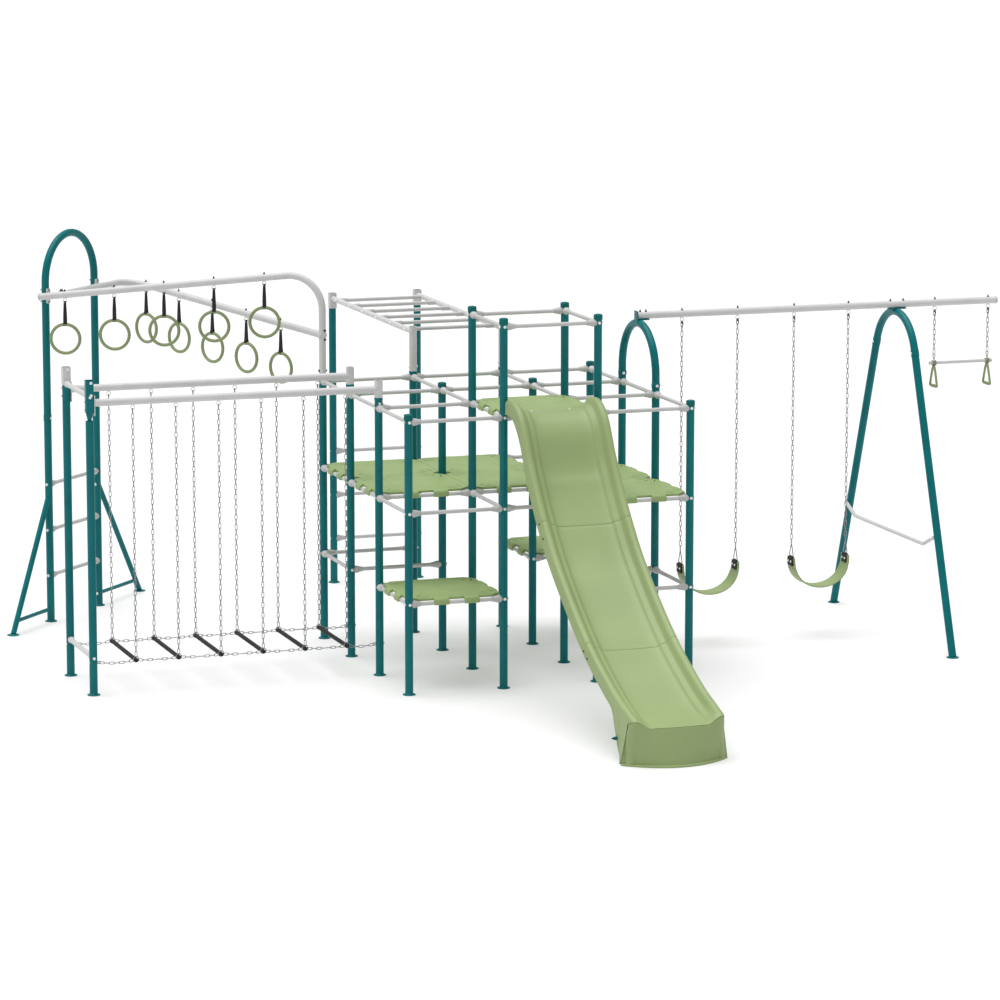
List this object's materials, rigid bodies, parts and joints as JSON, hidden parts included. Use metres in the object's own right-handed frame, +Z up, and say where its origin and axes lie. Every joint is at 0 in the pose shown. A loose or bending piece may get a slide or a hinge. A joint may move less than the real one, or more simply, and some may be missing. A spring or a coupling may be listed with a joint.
{
  "type": "backyard climbing set with monkey bars",
  "caption": "Modular steel climbing frame with decks, overhead ladder, hanging rings, chain step bridge, slide, belt swings and trapeze.",
  "frame": {"origin": "centre of the set's footprint, on the ground", "axes": "+X to the right, from the bridge to the swings; +Y to the back, from the slide to the monkey bars; +Z up"},
  "size_m": [6.267, 6.172, 2.5809],
  "materials": {
    "dark_steel": "dark coated",
    "green_plastic": "moulded, fine grain",
    "grey_powder_coat": "light grey powder coat",
    "teal_powder_coat": "teal powder coat, satin",
    "white_powder_coat": "white powder coat, satin",
    "zinc_steel": "zinc plated"
  },
  "bodies": {
    "root": {"bridge_frame": "white_powder_coat", "level_1_rails_back_left": "grey_powder_coat", "level_1_rails_back_right": "grey_powder_coat", "level_1_rails_front_left": "grey_powder_coat", "level_1_rails_front_right": "grey_powder_coat", "level_2_rails": "grey_powder_coat", "level_3_rails": "grey_powder_coat", "low_deck_back": "green_plastic", "low_deck_front": "green_plastic", "main_deck": "green_plastic", "monkey_end_frame": "teal_powder_coat", "monkey_ladder": "white_powder_coat", "post_0_0": "teal_powder_coat", "post_0_1": "teal_powder_coat", "post_0_2": "teal_powder_coat", "post_0_3": "teal_powder_coat", "post_1_2": "teal_powder_coat", "post_1_3": "teal_powder_coat", "post_2_2": "teal_powder_coat", "post_2_3": "teal_powder_coat", "post_3_0": "teal_powder_coat", "post_3_3": "teal_powder_coat", "ring_arch": "teal_powder_coat", "ring_rail_back": "white_powder_coat", "ring_rail_front": "white_powder_coat", "slide_bottom": "green_plastic", "slide_middle": "green_plastic", "slide_top": "green_plastic", "swing_a_frame": "teal_powder_coat", "swing_arch": "teal_powder_coat", "swing_beam": "white_powder_coat", "top_deck": "green_plastic", "tower_frame": "teal_powder_coat"},
    "step_1": {"chain_step_1": "dark_steel"},
    "step_2": {"chain_step_2": "dark_steel"},
    "step_3": {"chain_step_3": "dark_steel"},
    "step_4": {"chain_step_4": "dark_steel"},
    "step_5": {"chain_step_5": "dark_steel"},
    "step_6": {"chain_step_6": "dark_steel"},
    "ring_1": {"hand_ring_1": "green_plastic"},
    "ring_2": {"hand_ring_2": "green_plastic"},
    "ring_3": {"hand_ring_3": "green_plastic"},
    "ring_4": {"hand_ring_4": "green_plastic"},
    "ring_5": {"hand_ring_5": "green_plastic"},
    "ring_6": {"hand_ring_6": "green_plastic"},
    "ring_7": {"hand_ring_7": "green_plastic"},
    "ring_8": {"hand_ring_8": "green_plastic"},
    "ring_9": {"hand_ring_9": "green_plastic"},
    "ring_10": {"hand_ring_10": "green_plastic"},
    "swing_1": {"swing_seat_1": "green_plastic", "swing_chain_1_left": "zinc_steel", "swing_chain_1_right": "zinc_steel"},
    "swing_2": {"swing_seat_2": "green_plastic", "swing_chain_2_left": "zinc_steel", "swing_chain_2_right": "zinc_steel"},
    "trapeze": {"trapeze_bar": "white_powder_coat", "trapeze_chain_left": "zinc_steel", "trapeze_chain_right": "zinc_steel"},
    "handle_left": {"trapeze_handle_left": "green_plastic"},
    "handle_right": {"trapeze_handle_right": "green_plastic"}
  },
  "joints": [
    {"name": "step_1_sway", "type": "hinge", "parent": "root", "child": "step_1", "pos_m": [-2.753, 0.16508, 1.7626], "axis": [0, 1, 0], "range_deg": [-1.5, 1.5]},
    {"name": "step_2_sway", "type": "hinge", "parent": "root", "child": "step_2", "pos_m": [-2.48338, 0.16508, 1.7626], "axis": [0, 1, 0], "range_deg": [-1.5, 1.5]},
    {"name": "step_3_sway", "type": "hinge", "parent": "root", "child": "step_3", "pos_m": [-2.21376, 0.16508, 1.7626], "axis": [0, 1, 0], "range_deg": [-1.5, 1.5]},
    {"name": "step_4_sway", "type": "hinge", "parent": "root", "child": "step_4", "pos_m": [-1.94414, 0.16508, 1.7626], "axis": [0, 1, 0], "range_deg": [-1.5, 1.5]},
    {"name": "step_5_sway", "type": "hinge", "parent": "root", "child": "step_5", "pos_m": [-1.67452, 0.16508, 1.7626], "axis": [0, 1, 0], "range_deg": [-1.5, 1.5]},
    {"name": "step_6_sway", "type": "hinge", "parent": "root", "child": "step_6", "pos_m": [-1.4049, 0.16508, 1.7626], "axis": [0, 1, 0], "range_deg": [-1.5, 1.5]},
    {"name": "ring_1_swing", "type": "hinge", "parent": "root", "child": "ring_1", "pos_m": [-1.51493, 1.29945, 2.30341], "axis": [0.5612, 0.8277, 0], "range_deg": [-20, 20]},
    {"name": "ring_2_swing", "type": "hinge", "parent": "root", "child": "ring_2", "pos_m": [-1.79858, 1.49178, 2.26414], "axis": [0.5612, 0.8277, 0], "range_deg": [-20, 20]},
    {"name": "ring_3_swing", "type": "hinge", "parent": "root", "child": "ring_3", "pos_m": [-2.08224, 1.68412, 2.22487], "axis": [0.5612, 0.8277, 0], "range_deg": [-20, 20]},
    {"name": "ring_4_swing", "type": "hinge", "parent": "root", "child": "ring_4", "pos_m": [-2.36589, 1.87645, 2.1856], "axis": [0.5612, 0.8277, 0], "range_deg": [-20, 20]},
    {"name": "ring_5_swing", "type": "hinge", "parent": "root", "child": "ring_5", "pos_m": [-2.64954, 2.06879, 2.14633], "axis": [0.5612, 0.8277, 0], "range_deg": [-20, 20]},
    {"name": "ring_6_swing", "type": "hinge", "parent": "root", "child": "ring_6", "pos_m": [-1.36485, 1.45069, 1.98106], "axis": [0.9057, 0.4239, 0], "range_deg": [-20, 20]},
    {"name": "ring_7_swing", "type": "hinge", "parent": "root", "child": "ring_7", "pos_m": [-1.51043, 1.76177, 2.01314], "axis": [0.9057, 0.4239, 0], "range_deg": [-20, 20]},
    {"name": "ring_8_swing", "type": "hinge", "parent": "root", "child": "ring_8", "pos_m": [-1.65602, 2.07285, 2.04522], "axis": [0.9057, 0.4239, 0], "range_deg": [-20, 20]},
    {"name": "ring_9_swing", "type": "hinge", "parent": "root", "child": "ring_9", "pos_m": [-1.8016, 2.38393, 2.07731], "axis": [0.9057, 0.4239, 0], "range_deg": [-20, 20]},
    {"name": "ring_10_swing", "type": "hinge", "parent": "root", "child": "ring_10", "pos_m": [-1.94719, 2.69501, 2.10939], "axis": [0.9057, 0.4239, 0], "range_deg": [-20, 20]},
    {"name": "swing_1_swing", "type": "hinge", "parent": "root", "child": "swing_1", "pos_m": [1.12081, 0.16508, 2.10725], "axis": [1, 0, 0], "range_deg": [-50, 50]},
    {"name": "swing_2_swing", "type": "hinge", "parent": "root", "child": "swing_2", "pos_m": [1.89123, 0.16508, 2.10725], "axis": [1, 0, 0], "range_deg": [-50, 50]},
    {"name": "trapeze_swing", "type": "hinge", "parent": "root", "child": "trapeze", "pos_m": [2.87944, 0.16508, 2.10725], "axis": [1, 0, 0], "range_deg": [-60, 60]},
    {"name": "handle_left_swing", "type": "hinge", "parent": "trapeze", "child": "handle_left", "pos_m": [2.69003, 0.16508, 1.75375], "axis": [1, 0, 0], "range_deg": [-60, 60]},
    {"name": "handle_right_swing", "type": "hinge", "parent": "trapeze", "child": "handle_right", "pos_m": [3.06884, 0.16508, 1.75375], "axis": [1, 0, 0], "range_deg": [-60, 60]}
  ],
  "couplings": [
    {"joint": "step_2_sway", "follows": "step_1_sway", "ratio": 1},
    {"joint": "step_3_sway", "follows": "step_1_sway", "ratio": 1},
    {"joint": "step_4_sway", "follows": "step_1_sway", "ratio": 1},
    {"joint": "step_5_sway", "follows": "step_1_sway", "ratio": 1},
    {"joint": "step_6_sway", "follows": "step_1_sway", "ratio": 1}
  ]
}
